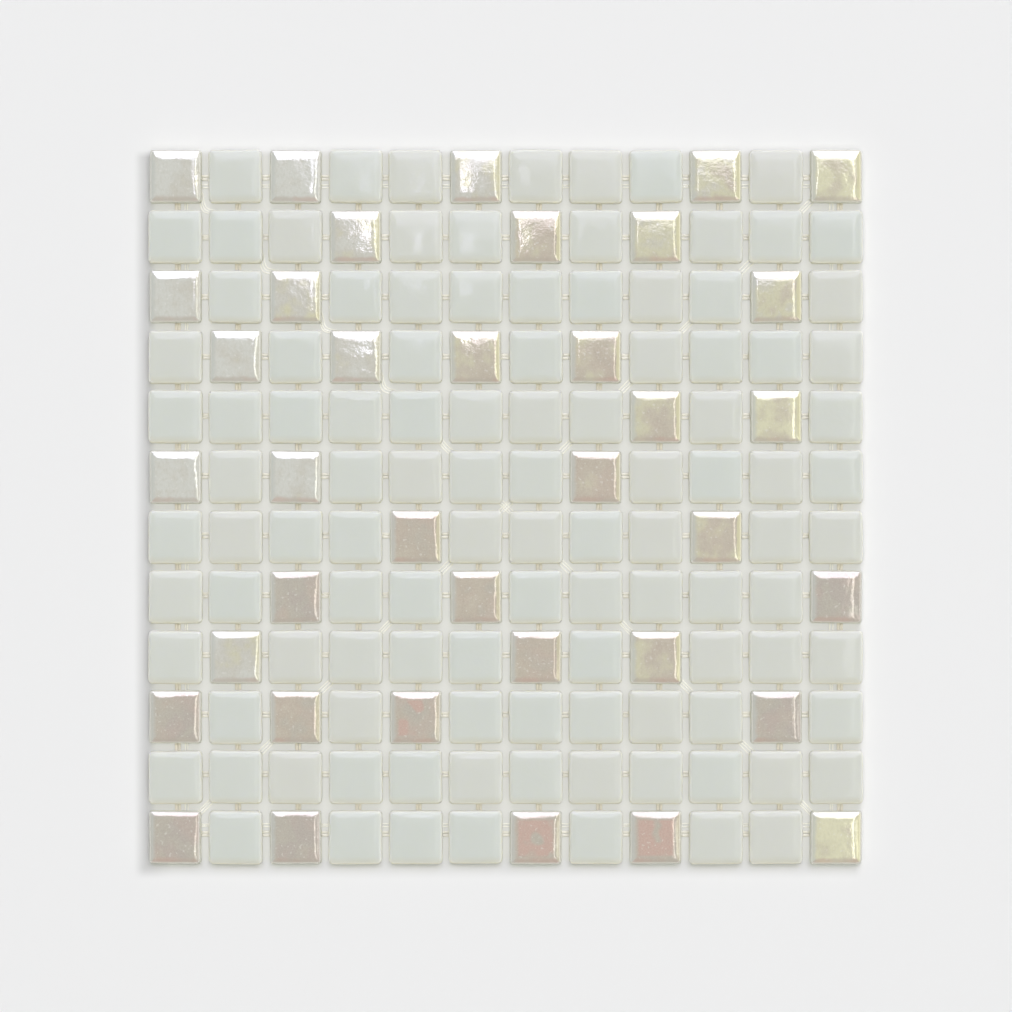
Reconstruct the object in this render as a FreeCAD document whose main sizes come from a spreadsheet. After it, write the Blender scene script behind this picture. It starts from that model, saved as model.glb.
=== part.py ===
import FreeCAD, Part
import math
import os
import Sketcher
from FreeCAD import Rotation, Vector

# Glass mosaic sheet: square pressed tiles, face up, bonded on a net of laid threads.
# Millimetres. Z is up, the sheet lies on the threads, and row 1 of the layout is at +Y.

# The tiles of the sheet as they are laid: L is a lustre tile, a dot is a white one.
LAYOUT = (
    "L.L..L...L.L",
    "...L..L.L...",
    "L.L.......L.",
    ".L.L.L.L....",
    "........L.L.",
    "L.L....L....",
    "....L....L..",
    "..L..L.....L",
    ".L....L.L...",
    "L.L.L.....L.",
    "............",
    "L.L...L.L..L",
)

SIZES = (
    ("tile_side", "23.6", "side of a tile at its widest outline"),
    ("tile_corner", "2.1", "corner radius of that outline"),
    ("tile_thickness", "4.5", "back to the flat middle of the face"),
    ("girdle_height", "1.6", "widest outline above the back"),
    ("back_inset", "0.5", "draft of the back, each side"),
    ("rim_width", "1.4", "steep rim, seen from above"),
    ("bevel_width", "2.4", "shallow bevel inside the rim"),
    ("bevel_drop", "0.40", "flat middle above the top of the rim"),
    ("joint", "2.5", "open joint between two tiles"),
    ("laying_shift", "0.12", "how far a tile lies off its place"),
    ("laying_turn", "0.3", "how far a tile lies out of square, degrees"),
    ("thread_width", "1.1", "main thread, pressed flat"),
    ("thread_thickness", "0.35", "main thread, pressed flat"),
    ("thread_gap", "0.25", "between the two threads of a pair"),
    ("thread_inset", "0.8", "thread ends inside the edge of the sheet"),
    ("column_shift", "0.8", "first column pair right of the tile middles"),
    ("column_drift", "0.11", "what each next column pair adds to that"),
    ("row_shift", "0.0", "first row pair above the tile middles"),
    ("row_drift", "0.11", "what each next row pair adds to that"),
    ("filament_width", "0.5", "fine filament, pressed flat"),
    ("filament_thickness", "0.2", "fine filament, pressed flat"),
    ("filament_gap", "0.6", "between the filaments of one bundle"),
    ("border_offset", "3.2", "border filaments inwards of the outer pairs"),
    ("diagonal_inset", "6.0", "diagonal filaments end inside the corners"),
)

# Successive tiles are scattered by the cosine and sine of this step, in degrees.
SCATTER_STEP = 137.5
TURN_STEP = 97.0
# A face whose normal's z is below this is upright.
UPRIGHT = 1e-6

PITCH = "(Sizes.tile_side + Sizes.joint)"
SHEET_WIDTH = f"({len(LAYOUT[0])} * {PITCH} - Sizes.joint)"
SHEET_HEIGHT = f"({len(LAYOUT)} * {PITCH} - Sizes.joint)"
THREAD_STEP = "(Sizes.thread_width + Sizes.thread_gap)"
FILAMENT_STEP = "(Sizes.filament_width + Sizes.filament_gap)"

# The layers lie face to face, from the floor up: two of diagonal filaments, rows, columns, tiles.
RISING_BASE = "Sizes.filament_thickness"
ROW_BASE = "(2 * Sizes.filament_thickness)"
COLUMN_BASE = f"({ROW_BASE} + Sizes.thread_thickness)"
TILE_BASE = f"({COLUMN_BASE} + Sizes.thread_thickness)"

doc = FreeCAD.newDocument("mosaic_sheet")


def make_sizes():
    """The sheet of driving dimensions: name, value, meaning."""
    sheet = doc.addObject("Spreadsheet::Sheet", "Sizes")
    for line, (name, value, meaning) in enumerate(SIZES, 1):
        sheet.set(f"A{line}", name)
        sheet.set(f"B{line}", value)
        sheet.set(f"C{line}", meaning)
        sheet.setAlias(f"B{line}", name)
    doc.recompute()


def sketch_on(body, role, name):
    """An empty sketch on one of the body's own origin planes."""
    plane = next(o for o in body.Origin.OriginFeatures if o.Role == role)
    sketch = body.newObject("Sketcher::SketchObject", name)
    sketch.AttachmentSupport = [(plane, "")]
    sketch.MapMode = "FlatFace"
    return sketch


def bind(sketch, index, name, expression):
    """Name one constraint of a sketch and tie it to the sizes."""
    sketch.renameConstraint(index, name)
    sketch.setExpression(f"Constraints.{name}", expression)


def rounded_square(body, name, side, corner, height):
    """A square outline at one height. Each corner is two chords of its construction arc."""
    sketch = sketch_on(body, "XY_Plane", name)
    half, radius = 10.0, 2.0
    flat = half - radius
    sides = [
        Part.LineSegment(Vector(-flat, -half, 0), Vector(flat, -half, 0)),
        Part.LineSegment(Vector(half, -flat, 0), Vector(half, flat, 0)),
        Part.LineSegment(Vector(flat, half, 0), Vector(-flat, half, 0)),
        Part.LineSegment(Vector(-half, flat, 0), Vector(-half, -flat, 0)),
    ]
    middles = [(flat, -flat), (flat, flat), (-flat, flat), (-flat, -flat)]
    arcs = []
    chords = []
    for i, (x, y) in enumerate(middles):
        start = math.radians(90 * i - 90)
        stop = start + math.pi / 2
        halfway = start + math.pi / 4
        centre = Vector(x, y, 0)
        arcs.append(Part.ArcOfCircle(Part.Circle(centre, Vector(0, 0, 1), radius), start, stop))
        ends = [centre + Vector(math.cos(a), math.sin(a), 0) * radius for a in (start, halfway, stop)]
        chords.append(Part.LineSegment(ends[0], ends[1]))
        chords.append(Part.LineSegment(ends[1], ends[2]))
    sketch.addGeometry(sides, False)
    sketch.addGeometry(arcs, True)
    sketch.addGeometry(chords, False)

    rules = []
    for i in range(4):
        arc, first, second, following = 4 + i, 8 + 2 * i, 9 + 2 * i, (i + 1) % 4
        rules.append(Sketcher.Constraint("Tangent", i, 2, arc, 1))
        rules.append(Sketcher.Constraint("Tangent", arc, 2, following, 1))
        rules.append(Sketcher.Constraint("Coincident", i, 2, first, 1))
        rules.append(Sketcher.Constraint("Coincident", first, 2, second, 1))
        rules.append(Sketcher.Constraint("Coincident", second, 2, following, 1))
        rules.append(Sketcher.Constraint("PointOnObject", first, 2, arc))
        rules.append(Sketcher.Constraint("Equal", first, second))
    for i in (0, 2):
        rules.append(Sketcher.Constraint("Horizontal", i))
        rules.append(Sketcher.Constraint("Vertical", i + 1))
    for arc in (5, 6, 7):
        rules.append(Sketcher.Constraint("Equal", 4, arc))
    rules.append(Sketcher.Constraint("Symmetric", 0, 1, 2, 1, -1, 1))
    sketch.addConstraint(rules)
    width = sketch.addConstraint(Sketcher.Constraint("DistanceX", 3, 1, 1, 2, 2 * half))
    depth = sketch.addConstraint(Sketcher.Constraint("DistanceY", 0, 1, 2, 2, 2 * half))
    round_off = sketch.addConstraint(Sketcher.Constraint("Radius", 4, radius))
    bind(sketch, width, "width", side)
    bind(sketch, depth, "depth", side)
    bind(sketch, round_off, "corner", corner)
    sketch.setExpression("AttachmentOffset.Base.z", height)
    return sketch


def drafted_pad(body, sketch, girdle, name, downwards, length, inset, over):
    """The outline drawn out to one side of the girdle, its sides leaning in by inset over a height."""
    pad = body.newObject("PartDesign::Pad", f"{name}Block")
    pad.Profile = sketch
    pad.Reversed = downwards
    pad.setExpression("Length", length)
    doc.recompute()
    upright = [
        f"Face{i}" for i, face in enumerate(pad.Shape.Faces, 1) if abs(face.normalAt(0, 0).z) < UPRIGHT
    ]
    draft = body.newObject("PartDesign::Draft", name)
    draft.Base = (pad, upright)
    draft.NeutralPlane = (girdle, [""])
    draft.Reversed = downwards
    draft.setExpression("Angle", f"atan({inset} / ({over}))")
    body.Tip = draft
    doc.recompute()


def make_tile():
    """The pressed tile: drafted back, widest at the girdle, steep rim, shallow bevel, flat middle."""
    body = doc.addObject("PartDesign::Body", "Blank")
    outline = rounded_square(body, "Outline", "Sizes.tile_side", "Sizes.tile_corner", "Sizes.girdle_height")
    girdle = body.newObject("PartDesign::Plane", "Girdle")
    girdle.AttachmentSupport = outline.AttachmentSupport
    girdle.MapMode = "FlatFace"
    girdle.setExpression("AttachmentOffset.Base.z", "Sizes.girdle_height")
    doc.recompute()
    drafted_pad(body, outline, girdle, "Rim", False, "Sizes.tile_thickness - Sizes.girdle_height",
                "Sizes.rim_width", "Sizes.tile_thickness - Sizes.bevel_drop - Sizes.girdle_height")
    drafted_pad(body, outline, girdle, "Back", True, "Sizes.girdle_height",
                "Sizes.back_inset", "Sizes.girdle_height")

    # The crown is a low pyramid cut off flat: its four sides are the bevels of the face.
    flat = "(Sizes.tile_side / 2 - Sizes.rim_width - Sizes.bevel_width)"
    foot = f"({flat} + Sizes.tile_thickness * Sizes.bevel_width / Sizes.bevel_drop)"
    crown = doc.addObject("Part::Wedge", "Crown")
    crown.setExpression("Ymin", "0")
    crown.setExpression("Ymax", "Sizes.tile_thickness")
    for axis in "XZ":
        crown.setExpression(f"{axis}min", f"-1 * {foot}")
        crown.setExpression(f"{axis}max", foot)
        crown.setExpression(f"{axis}2min", f"-1 * {flat}")
        crown.setExpression(f"{axis}2max", flat)
    crown.Placement = FreeCAD.Placement(Vector(0, 0, 0), Rotation(Vector(1, 0, 0), 90))

    tile = doc.addObject("Part::Common", "Tile")
    tile.Base = body
    tile.Tool = crown
    return tile


def lay_tiles(tile, row, kind, label):
    """The tiles of one kind in one row, each a little off its place, as they were laid."""
    laid = []
    for column, letter in enumerate(LAYOUT[row]):
        if letter != kind:
            continue
        link = doc.addObject("App::Link", f"{label}_{column + 1:02d}")
        link.LinkedObject = tile
        step = row * len(LAYOUT[row]) + column
        across = column - (len(LAYOUT[row]) - 1) / 2
        up = (len(LAYOUT) - 1) / 2 - row
        scatter = f"{step * SCATTER_STEP % 360}deg"
        turn = f"{step * TURN_STEP % 360}deg"
        link.setExpression("Placement.Base.x", f"{across} * {PITCH} + Sizes.laying_shift * cos({scatter})")
        link.setExpression("Placement.Base.y", f"{up} * {PITCH} + Sizes.laying_shift * sin({scatter})")
        link.setExpression("Placement.Base.z", TILE_BASE)
        link.setExpression("Placement.Rotation.Angle", f"Sizes.laying_turn * 1deg * sin({turn})")
        laid.append(link)
    if laid:
        gathered = doc.addObject("Part::Compound", label)
        gathered.Links = laid
        gathered.Label = label
        return [gathered]
    return []


def flat_section(sketch, middle, width, thickness, name):
    """One pressed thread's section: a hexagon with a flat top and bottom, standing on the plane's x axis."""
    w, t = 2.0, 0.5
    points = [(-w + t, 0), (w - t, 0), (w, t), (w - t, 2 * t), (-w + t, 2 * t), (-w, t)]
    first = sketch.GeometryCount
    lines = []
    for (x0, y0), (x1, y1) in zip(points, points[1:] + points[:1]):
        lines.append(Part.LineSegment(Vector(x0, y0, 0), Vector(x1, y1, 0)))
    sketch.addGeometry(lines, False)
    bottom, low_right, high_right, top, high_left, low_left = range(first, first + 6)
    rules = [
        Sketcher.Constraint("Coincident", bottom, 2, low_right, 1),
        Sketcher.Constraint("Coincident", low_right, 2, high_right, 1),
        Sketcher.Constraint("Coincident", high_right, 2, top, 1),
        Sketcher.Constraint("Coincident", top, 2, high_left, 1),
        Sketcher.Constraint("Coincident", high_left, 2, low_left, 1),
        Sketcher.Constraint("Coincident", low_left, 2, bottom, 1),
        Sketcher.Constraint("PointOnObject", bottom, 1, -1),
        Sketcher.Constraint("PointOnObject", bottom, 2, -1),
        Sketcher.Constraint("Horizontal", top),
        Sketcher.Constraint("Horizontal", low_left, 1, low_right, 2),
        Sketcher.Constraint("Vertical", bottom, 2, top, 1),
        Sketcher.Constraint("Vertical", bottom, 1, top, 2),
    ]
    sketch.addConstraint(rules)
    across = sketch.addConstraint(Sketcher.Constraint("DistanceX", low_left, 1, low_right, 2, 2 * w))
    flat = sketch.addConstraint(Sketcher.Constraint("DistanceX", bottom, 1, bottom, 2, 2 * w - 2 * t))
    high = sketch.addConstraint(Sketcher.Constraint("DistanceY", bottom, 1, top, 2, 2 * t))
    middle_high = sketch.addConstraint(Sketcher.Constraint("DistanceY", bottom, 1, low_left, 1, t))
    shoulder = sketch.addConstraint(Sketcher.Constraint("DistanceX", low_left, 1, bottom, 1, t))
    place = sketch.addConstraint(Sketcher.Constraint("DistanceX", -1, 1, low_right, 2, w))
    bind(sketch, across, f"{name}_width", width)
    bind(sketch, flat, f"{name}_flat", f"{width} - {thickness}")
    bind(sketch, high, f"{name}_thickness", thickness)
    bind(sketch, middle_high, f"{name}_edge", f"{thickness} / 2")
    bind(sketch, shoulder, f"{name}_shoulder", f"{thickness} / 2")
    bind(sketch, place, f"{name}_place", f"{middle} + {width} / 2")


def sketched_bundle(body, role, name, count, first_middle, spacing, width, thickness):
    """A sketch of like thread sections side by side, the first one's middle at first_middle."""
    sketch = sketch_on(body, role, name)
    for i in range(count):
        flat_section(sketch, f"{i} * {spacing}", width, thickness, f"thread_{i + 1}")
    sketch.setExpression("AttachmentOffset.Base.x", first_middle)
    return sketch


def padded_threads(body, sketch, length):
    """The threads of a sketch, drawn out to both sides of its plane."""
    pad = body.newObject("PartDesign::Pad", f"{sketch.Name}_threads")
    pad.Profile = sketch
    pad.SideType = "Symmetric"
    pad.Refine = False
    pad.setExpression("Length", length)
    return pad


def repeat(body, feature, role, backwards, distance, count):
    """Copies of a feature along one of the body's origin axes, over the whole distance."""
    axis = next(o for o in body.Origin.OriginFeatures if o.Role == role)
    pattern = body.newObject("PartDesign::LinearPattern", f"{feature.Name}_repeated")
    pattern.Originals = [feature]
    pattern.Direction = (axis, [""])
    pattern.Reversed = backwards
    pattern.Occurrences = count
    pattern.Refine = False
    pattern.setExpression("Length", distance)
    body.Tip = pattern


def thread_body(label, base):
    """An empty body for threads that share one layer of the net."""
    body = doc.addObject("PartDesign::Body", label)
    body.Label = label
    body.AllowCompound = True
    body.setExpression("Placement.Base.z", base)
    return body


def make_row_threads():
    """A pair of threads behind the middle of each row, and two fine filaments inwards of the outer pairs."""
    rows = len(LAYOUT)
    length = f"{SHEET_WIDTH} - 2 * Sizes.thread_inset"
    top = f"({(rows - 1) / 2} * {PITCH} + Sizes.row_shift)"
    reach = f"({rows - 1} * ({PITCH} - Sizes.row_drift))"

    pairs = thread_body("row_threads", ROW_BASE)
    sketch = sketched_bundle(pairs, "YZ_Plane", "RowPair", 2, f"{top} - {THREAD_STEP} / 2", THREAD_STEP,
                             "Sizes.thread_width", "Sizes.thread_thickness")
    pair = padded_threads(pairs, sketch, length)
    repeat(pairs, pair, "Y_Axis", True, reach, rows)

    fine = thread_body("border_row_filaments", f"{COLUMN_BASE} - Sizes.filament_thickness")
    lower = f"{top} - Sizes.border_offset - {FILAMENT_STEP}"
    sketch = sketched_bundle(fine, "YZ_Plane", "RowBorder", 2, lower, FILAMENT_STEP,
                             "Sizes.filament_width", "Sizes.filament_thickness")
    pair = padded_threads(fine, sketch, length)
    inwards = f"{reach} - 2 * Sizes.border_offset - {FILAMENT_STEP}"
    repeat(fine, pair, "Y_Axis", True, inwards, 2)
    return [pairs, fine]


def make_column_threads():
    """The same across the rows, laid on top of the row threads, under the backs of the tiles."""
    columns = len(LAYOUT[0])
    length = f"{SHEET_HEIGHT} - 2 * Sizes.thread_inset"
    left = f"(Sizes.column_shift - {(columns - 1) / 2} * {PITCH})"
    reach = f"({columns - 1} * ({PITCH} + Sizes.column_drift))"

    pairs = thread_body("column_threads", COLUMN_BASE)
    sketch = sketched_bundle(pairs, "XZ_Plane", "ColumnPair", 2, f"{left} - {THREAD_STEP} / 2", THREAD_STEP,
                             "Sizes.thread_width", "Sizes.thread_thickness")
    pair = padded_threads(pairs, sketch, length)
    repeat(pairs, pair, "X_Axis", False, reach, columns)

    fine = thread_body("border_column_filaments", COLUMN_BASE)
    first = f"{left} + Sizes.border_offset"
    sketch = sketched_bundle(fine, "XZ_Plane", "ColumnBorder", 2, first, FILAMENT_STEP,
                             "Sizes.filament_width", "Sizes.filament_thickness")
    pair = padded_threads(fine, sketch, length)
    inwards = f"{reach} - 2 * Sizes.border_offset - {FILAMENT_STEP}"
    repeat(fine, pair, "X_Axis", False, inwards, 2)
    return [pairs, fine]


def make_diagonal_filaments(label, base, sign):
    """Three fine filaments from corner to corner under the net."""
    body = thread_body(label, base)
    sketch = sketched_bundle(body, "YZ_Plane", f"{label}_sections", 3, f"-1 * {FILAMENT_STEP}", FILAMENT_STEP,
                             "Sizes.filament_width", "Sizes.filament_thickness")
    corner_to_corner = f"sqrt(pow({SHEET_WIDTH}; 2) + pow({SHEET_HEIGHT}; 2))"
    padded_threads(body, sketch, f"{corner_to_corner} - 2 * Sizes.diagonal_inset")
    body.setExpression("Placement.Rotation.Angle", f"{sign} * atan({SHEET_HEIGHT} / {SHEET_WIDTH})")
    return body


def sound(parts):
    """Stop at any object that failed, and at any sub-part that is empty or not valid."""
    failed = [o.Name for o in doc.Objects if {"Invalid", "Error"} & set(o.State)]
    if failed:
        raise RuntimeError(f"failed: {failed}")
    for part in parts:
        if part.Shape.isNull() or not part.Shape.isValid():
            raise RuntimeError(f"{part.Label} has no valid shape")


make_sizes()
tile = make_tile()
parts = [
    make_diagonal_filaments("falling_diagonal_filaments", "0", -1),
    make_diagonal_filaments("rising_diagonal_filaments", RISING_BASE, 1),
]
parts += make_row_threads()
parts += make_column_threads()
for row in range(len(LAYOUT)):
    parts += lay_tiles(tile, row, ".", f"row_{row + 1:02d}_white_tiles")
    parts += lay_tiles(tile, row, "L", f"row_{row + 1:02d}_lustre_tiles")
doc.recompute()
sound(parts)

os.makedirs("parts", exist_ok=True)
for part in parts:
    part.Shape.exportStep(f"parts/{part.Label}.step")
    print(part.Label, len(part.Shape.Solids), "solids", round(part.Shape.Volume, 3), "mm3")
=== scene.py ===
import math
import bpy
import numpy as np
from mathutils import Matrix, Vector


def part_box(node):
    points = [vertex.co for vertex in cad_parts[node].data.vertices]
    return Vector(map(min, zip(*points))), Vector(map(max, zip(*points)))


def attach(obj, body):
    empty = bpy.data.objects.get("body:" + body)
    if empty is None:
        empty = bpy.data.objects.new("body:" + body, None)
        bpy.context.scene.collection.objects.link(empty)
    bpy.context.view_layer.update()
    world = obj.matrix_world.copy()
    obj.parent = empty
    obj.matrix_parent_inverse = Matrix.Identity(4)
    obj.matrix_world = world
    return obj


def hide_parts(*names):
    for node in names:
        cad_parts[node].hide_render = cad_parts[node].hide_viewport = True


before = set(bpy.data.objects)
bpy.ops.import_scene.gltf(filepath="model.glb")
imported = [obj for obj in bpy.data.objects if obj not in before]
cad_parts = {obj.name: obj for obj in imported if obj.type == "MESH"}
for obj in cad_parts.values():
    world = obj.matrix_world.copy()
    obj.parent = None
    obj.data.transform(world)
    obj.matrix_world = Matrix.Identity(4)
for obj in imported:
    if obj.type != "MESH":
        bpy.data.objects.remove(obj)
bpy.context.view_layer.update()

# Everything is in metres. The sheet lies face up, its rows run along X and row 1 is at +Y.
MM = 0.001
SEED = 12

# The laid sheet
ROWS = 12
TILE_SIDE = 23.6 * MM
JOINT = 2.5 * MM
PITCH = TILE_SIDE + JOINT
SHEET = ROWS * PITCH - JOINT

# The pressed tile: widths are seen from above, from the outer edge inwards.
TILE_HEIGHT = 4.5 * MM
GIRDLE_HEIGHT = 1.6 * MM
GIRDLE_DEPTH = TILE_HEIGHT - GIRDLE_HEIGHT
BACK_INSET = 0.5 * MM
BACK_EASE = 0.15 * MM
BACK_CORNER_POWER = 4
RIM_WIDTH = 1.4 * MM
BEVEL_WIDTH = 2.4 * MM
RIM_HALF = TILE_SIDE / 2 - RIM_WIDTH
FACE_HALF = RIM_HALF - BEVEL_WIDTH
RIM_POWER = 2.4
RIM_CORNER_SHARE = 0.35

# Ribs moulded in the back
RIB_PITCH = 2.5 * MM
RIB_HEIGHT = 0.35 * MM
RIB_MARGIN = 1.6 * MM
RIB_END = 0.5 * MM

# Rings of the tile's grid, from its middle to the edge of its back
FACE_RINGS = 6
BEVEL_RINGS = 4
RIM_RINGS = 6
DRAFT_RINGS = 2
RINGS = FACE_RINGS + BEVEL_RINGS + RIM_RINGS + DRAFT_RINGS

# How the two kinds of tile differ: slopes, lean and dome are in degrees, and shrink is a share
# of the width and of the length.
WHITE_TILE = dict(
    corner=2.2 * MM, inner_slope=2.6, outer_slope=14.2, lean=0.4, dome=(0.5, 2.8),
    press=0.06 * MM, wave=0.011 * MM, shrink=(0.0, 0.0))
LUSTRE_TILE = dict(
    corner=1.4 * MM, inner_slope=1.8, outer_slope=12.4, lean=0.5, dome=(0.2, 1.4),
    press=0.08 * MM, wave=0.011 * MM, shrink=(0.035, 0.01))

# How tiles of one kind differ from each other
UNEVEN_SIZE = 0.008
SKEW = 0.01
WAVES = 5
WAVE_SHARES = (0.3, 1)
WAVE_LENGTH = 7 * MM
LONG_WAVE_LENGTH = 26 * MM
FILM_SPREAD = 0.02
PITTED_POWER = 3

# Tiles that sit visibly out of level: row and column, then degrees towards +X and +Y.
TILTED = {
    (0, 0): (0.0, -0.4), (0, 2): (0.0, -0.4), (0, 4): (0.0, 0.6), (0, 5): (0.5, -0.4),
    (0, 9): (0.0, -0.2), (0, 11): (0.0, -0.8), (1, 3): (0.3, -0.2), (1, 4): (0.0, 1.3),
    (1, 5): (0.0, 1.4), (1, 6): (0.0, 0.1), (1, 8): (0.0, -0.2), (11, 11): (0.5, 0.5),
}

# Shade of each lustre tile: w white silver, s silver, y straw, g gold, b beige, r rose,
# k with pink patches, p mostly pink, c grey brown. A dot is a milk-white tile.
LUSTRE_SHADES = (
    "w.w..s...y.g",
    "...s..b.y...",
    "w.s.......y.",
    ".w.s.b.b....",
    "........b.g.",
    "w.w....r....",
    "....r....b..",
    "..c..r.....c",
    ".s....r.b...",
    "c.r.k.....c.",
    "............",
    "c.c...p.p..g",
)
# Thickness of the film, share of pink patches and share of gilt of each shade
SHADES = {
    ".": (0.0, 0.0, 0.0), "w": (0.05, 0.0, 0.0), "s": (0.2, 0.0, 0.0), "y": (0.36, 0.0, 0.0),
    "g": (0.36, 0.0, 1.0), "b": (0.52, 0.0, 0.0), "r": (0.66, 0.0, 0.0), "k": (0.8, 0.3, 0.0),
    "p": (0.8, 0.9, 0.0), "c": (0.94, 0.0, 0.0),
}

# Reading the CAD nodes: how close in height the corners on one level are, and how far away a
# thread's next edge is at least
SAME_LEVEL = 0.01 * MM
NEXT_EDGE = 0.1 * MM


def mesh_piece(name, points, faces, material):
    """A smooth mesh at the origin, from an array of points and one of four-sided faces."""
    mesh = bpy.data.meshes.new(name)
    mesh.from_pydata(points.reshape(-1, 3).tolist(), [], faces.reshape(-1, 4).tolist())
    mesh.polygons.foreach_set("use_smooth", np.ones(len(mesh.polygons), bool))
    mesh.materials.append(material)
    mesh.update()
    piece = bpy.data.objects.new(name, mesh)
    bpy.context.scene.collection.objects.link(piece)
    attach(piece, "root")
    return piece


def point_values(piece, name, values):
    """Stores a number or a vector for each vertex, for the material to read by name."""
    values = np.asarray(values, np.float32)
    kind, field = ("FLOAT_VECTOR", "vector") if values.shape[-1] == 3 else ("FLOAT", "value")
    layer = piece.data.attributes.new(name, kind, "POINT")
    layer.data.foreach_set(field, values.ravel())


def node_points(node):
    """The corners of a CAD node's solids."""
    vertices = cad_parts[node].data.vertices
    points = np.empty(3 * len(vertices), np.float32)
    vertices.foreach_get("co", points)
    return points.reshape(-1, 3).astype(float)


def square_rings():
    """Grid steps i, j from -RINGS to RINGS. A point's ring is the larger of |i| and |j|, and its
    place p, q on the edge of a square of half width 1 is i and j divided by the ring."""
    steps = np.arange(-RINGS, RINGS + 1)
    i, j = np.meshgrid(steps, steps, indexing="ij")
    ring = np.maximum(abs(i), abs(j))
    return ring, i / np.maximum(ring, 1), j / np.maximum(ring, 1)


def rounded_square(p, q, half, corner):
    """Carries p, q to a square of that half width with arcs at its corners: the point is clipped
    to the square of the arcs' middles, and set off from there by the corner radius along the
    line between."""
    x, y = p * half, q * half
    flat = half - corner
    inner_x, inner_y = np.clip(x, -flat, flat), np.clip(y, -flat, flat)
    away = np.maximum(np.hypot(x - inner_x, y - inner_y), 1e-9)
    return inner_x + (x - inner_x) / away * corner, inner_y + (y - inner_y) / away * corner


def tile_profile(kind):
    """Half width, corner radius and depth below the face of each ring, from the middle outwards.
    Face: flat. Bevel: its slope grows evenly from the inner to the outer one, so its depth is a
    square. Rim: that slope carried on, plus a superellipse that ends upright at the girdle.
    Draft: straight in."""
    inner, outer = np.tan(np.radians([kind["inner_slope"], kind["outer_slope"]]))
    face = np.linspace(0, 1, FACE_RINGS + 1)
    bevel = np.linspace(0, 1, BEVEL_RINGS + 1)[1:] * BEVEL_WIDTH
    rim = np.sin(np.linspace(0, np.pi / 2, RIM_RINGS + 1)[1:])
    draft = np.linspace(0, 1, DRAFT_RINGS + 1)[1:]
    bevel_depth = inner * bevel + (outer - inner) * bevel ** 2 / (2 * BEVEL_WIDTH)
    drop = bevel_depth[-1]
    curve = 1 - (1 - rim ** RIM_POWER) ** (1 / RIM_POWER)
    rim_depth = drop + outer * RIM_WIDTH * rim + (GIRDLE_DEPTH - drop - outer * RIM_WIDTH) * curve
    half = np.concatenate([
        FACE_HALF * face,
        FACE_HALF + bevel,
        RIM_HALF + RIM_WIDTH * rim,
        TILE_SIDE / 2 - (BACK_INSET + BACK_EASE) * draft,
    ])
    share = np.concatenate([
        0 * face,
        RIM_CORNER_SHARE * bevel / BEVEL_WIDTH,
        RIM_CORNER_SHARE + (1 - RIM_CORNER_SHARE) * rim,
        np.ones(DRAFT_RINGS),
    ])
    depth = np.concatenate([0 * face, bevel_depth, rim_depth, GIRDLE_DEPTH + GIRDLE_HEIGHT * draft])
    return half, kind["corner"] * share, depth


def face_relief(kind, tilts, x, y, rng):
    """Lowering of the face at x, y for each tile: a slope, a dome that falls as the square of
    the distance from the middle, sine waves of random direction, and a longer wave that presses
    the bevels down in proportion to the distance outside the face. Each part only takes away."""
    count = len(tilts)
    slopes = np.tan(np.radians(tilts))[:, :, None, None]
    lean = slopes[:, 0] * x + slopes[:, 1] * y + abs(slopes).sum(1) * TILE_SIDE / 2
    dome_slope = np.tan(np.radians(rng.uniform(*kind["dome"], (count, 1, 1))))
    dome = dome_slope * (x ** 2 + y ** 2) / (2 * FACE_HALF)
    height = kind["wave"] * rng.uniform(*WAVE_SHARES, (count, WAVES, 1, 1))
    way = rng.uniform(-1, 1, (count, WAVES, 2, 1, 1)) * 2 * np.pi / WAVE_LENGTH
    phase = rng.uniform(0, 2 * np.pi, (count, WAVES, 1, 1))
    waves = (height * (1 + np.sin(way[:, :, 0] * x + way[:, :, 1] * y + phase))).sum(1)
    turn = rng.uniform(0, 2 * np.pi, (count, 1, 1))
    along = np.cos(turn) * x + np.sin(turn) * y
    long_wave = np.sin(along * 2 * np.pi / LONG_WAVE_LENGTH + phase[:, 0])
    outside = np.clip((np.maximum(abs(x), abs(y)) - FACE_HALF) / BEVEL_WIDTH, 0, 1)
    return lean + dome + waves + kind["press"] * (1 + long_wave) * outside


def tile_back(kind, ring, p, q):
    """x, y and height of the back, over the same rings. Its corner radius grows as a power of
    the ring's share. The ribs are the upper part of a sine along y, and end short of the edge."""
    half = TILE_SIDE / 2 - BACK_INSET - BACK_EASE
    share = np.arange(RINGS + 1) / RINGS
    corner = kind["corner"] * share[ring] ** BACK_CORNER_POWER
    x, y = rounded_square(p, q, half * share[ring], corner)
    margin = half - RIB_MARGIN - np.maximum(abs(x), abs(y))
    rib = np.clip(0.5 + np.sin(2 * np.pi * y / RIB_PITCH), 0, 1)
    return x, y, RIB_HEIGHT * rib * np.clip(margin / RIB_END, 0, 1)


def tile_faces():
    """Faces of one tile: the upper grid, then the lower one turned over. The lower grid's own
    points come after the upper grid's, whose outermost ring it shares."""
    size = 2 * RINGS + 1
    inner = size - 2
    up = np.arange(size * size).reshape(size, size)
    down = up.copy()
    down[1:-1, 1:-1] = size * size + np.arange(inner * inner).reshape(inner, inner)
    return np.concatenate([
        np.stack([up[:-1, :-1], up[1:, :-1], up[1:, 1:], up[:-1, 1:]], -1).reshape(-1, 4),
        np.stack([down[:-1, :-1], down[:-1, 1:], down[1:, 1:], down[1:, :-1]], -1).reshape(-1, 4),
    ])


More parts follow.
